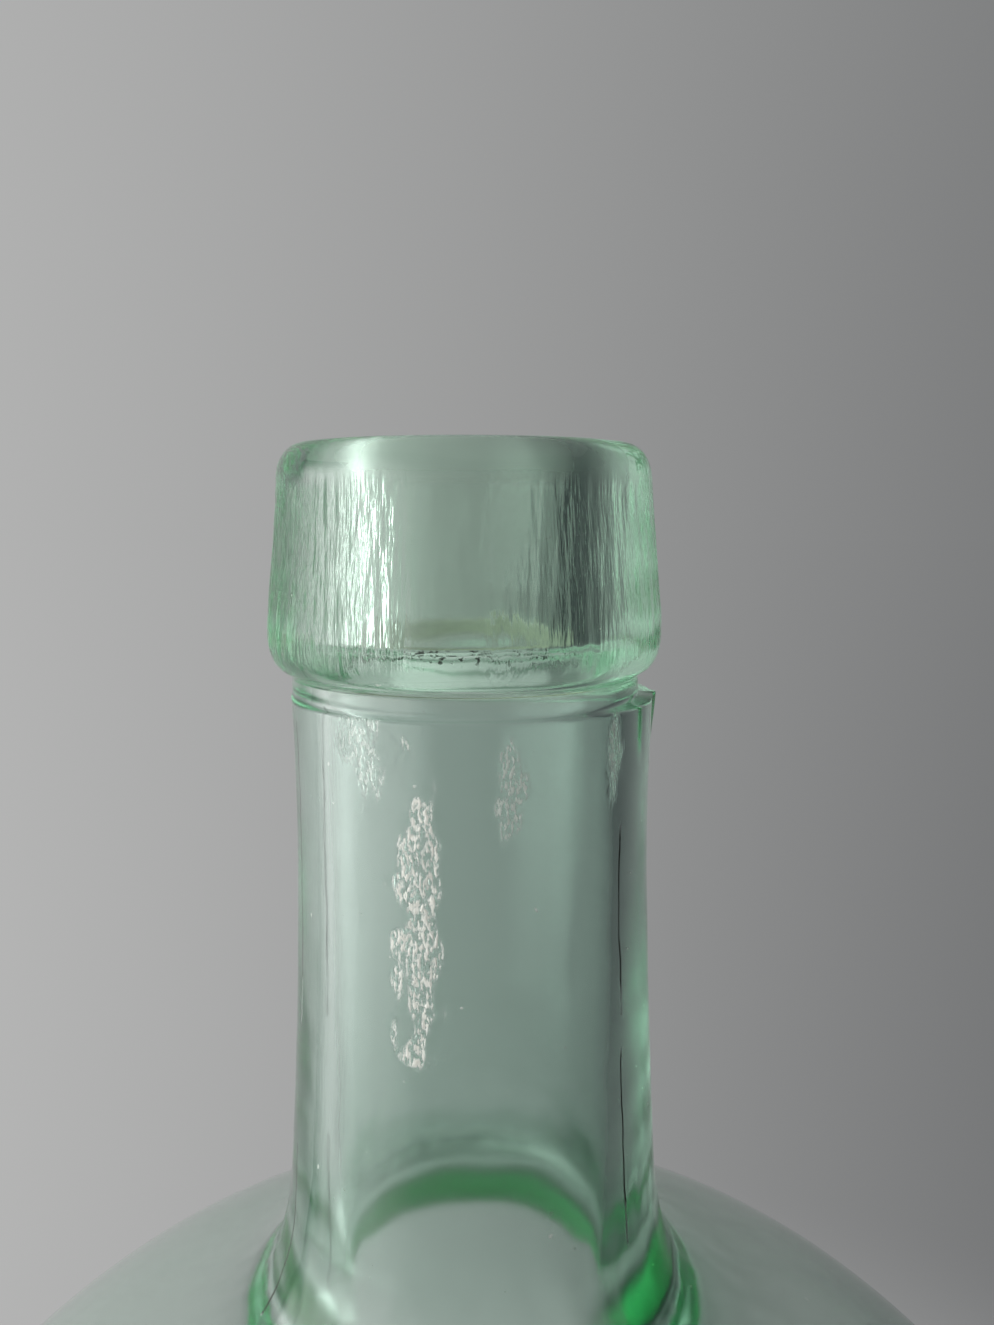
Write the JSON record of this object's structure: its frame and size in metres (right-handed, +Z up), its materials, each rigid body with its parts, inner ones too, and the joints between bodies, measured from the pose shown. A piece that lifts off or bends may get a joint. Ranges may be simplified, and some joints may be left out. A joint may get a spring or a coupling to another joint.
{
  "type": "demijohn",
  "caption": "Round glass demijohn with a tall neck that is thick at its root, a heavy applied lip round its open mouth and a pushed-up base.",
  "frame": {"origin": "on the ground at the middle of the foot ring", "axes": "+Z up along the vessel's axis, -Y towards the front and +X to the right as seen from the front"},
  "size_m": [0.22, 0.22, 0.3326],
  "materials": {
    "vessel_glass": "pale green blown glass, smooth and slightly wavy",
    "lip_glass": "pale green glass with fine upright tool marks"
  },
  "bodies": {
    "root": {"vessel": "vessel_glass", "lip": "lip_glass"}
  },
  "joints": []
}
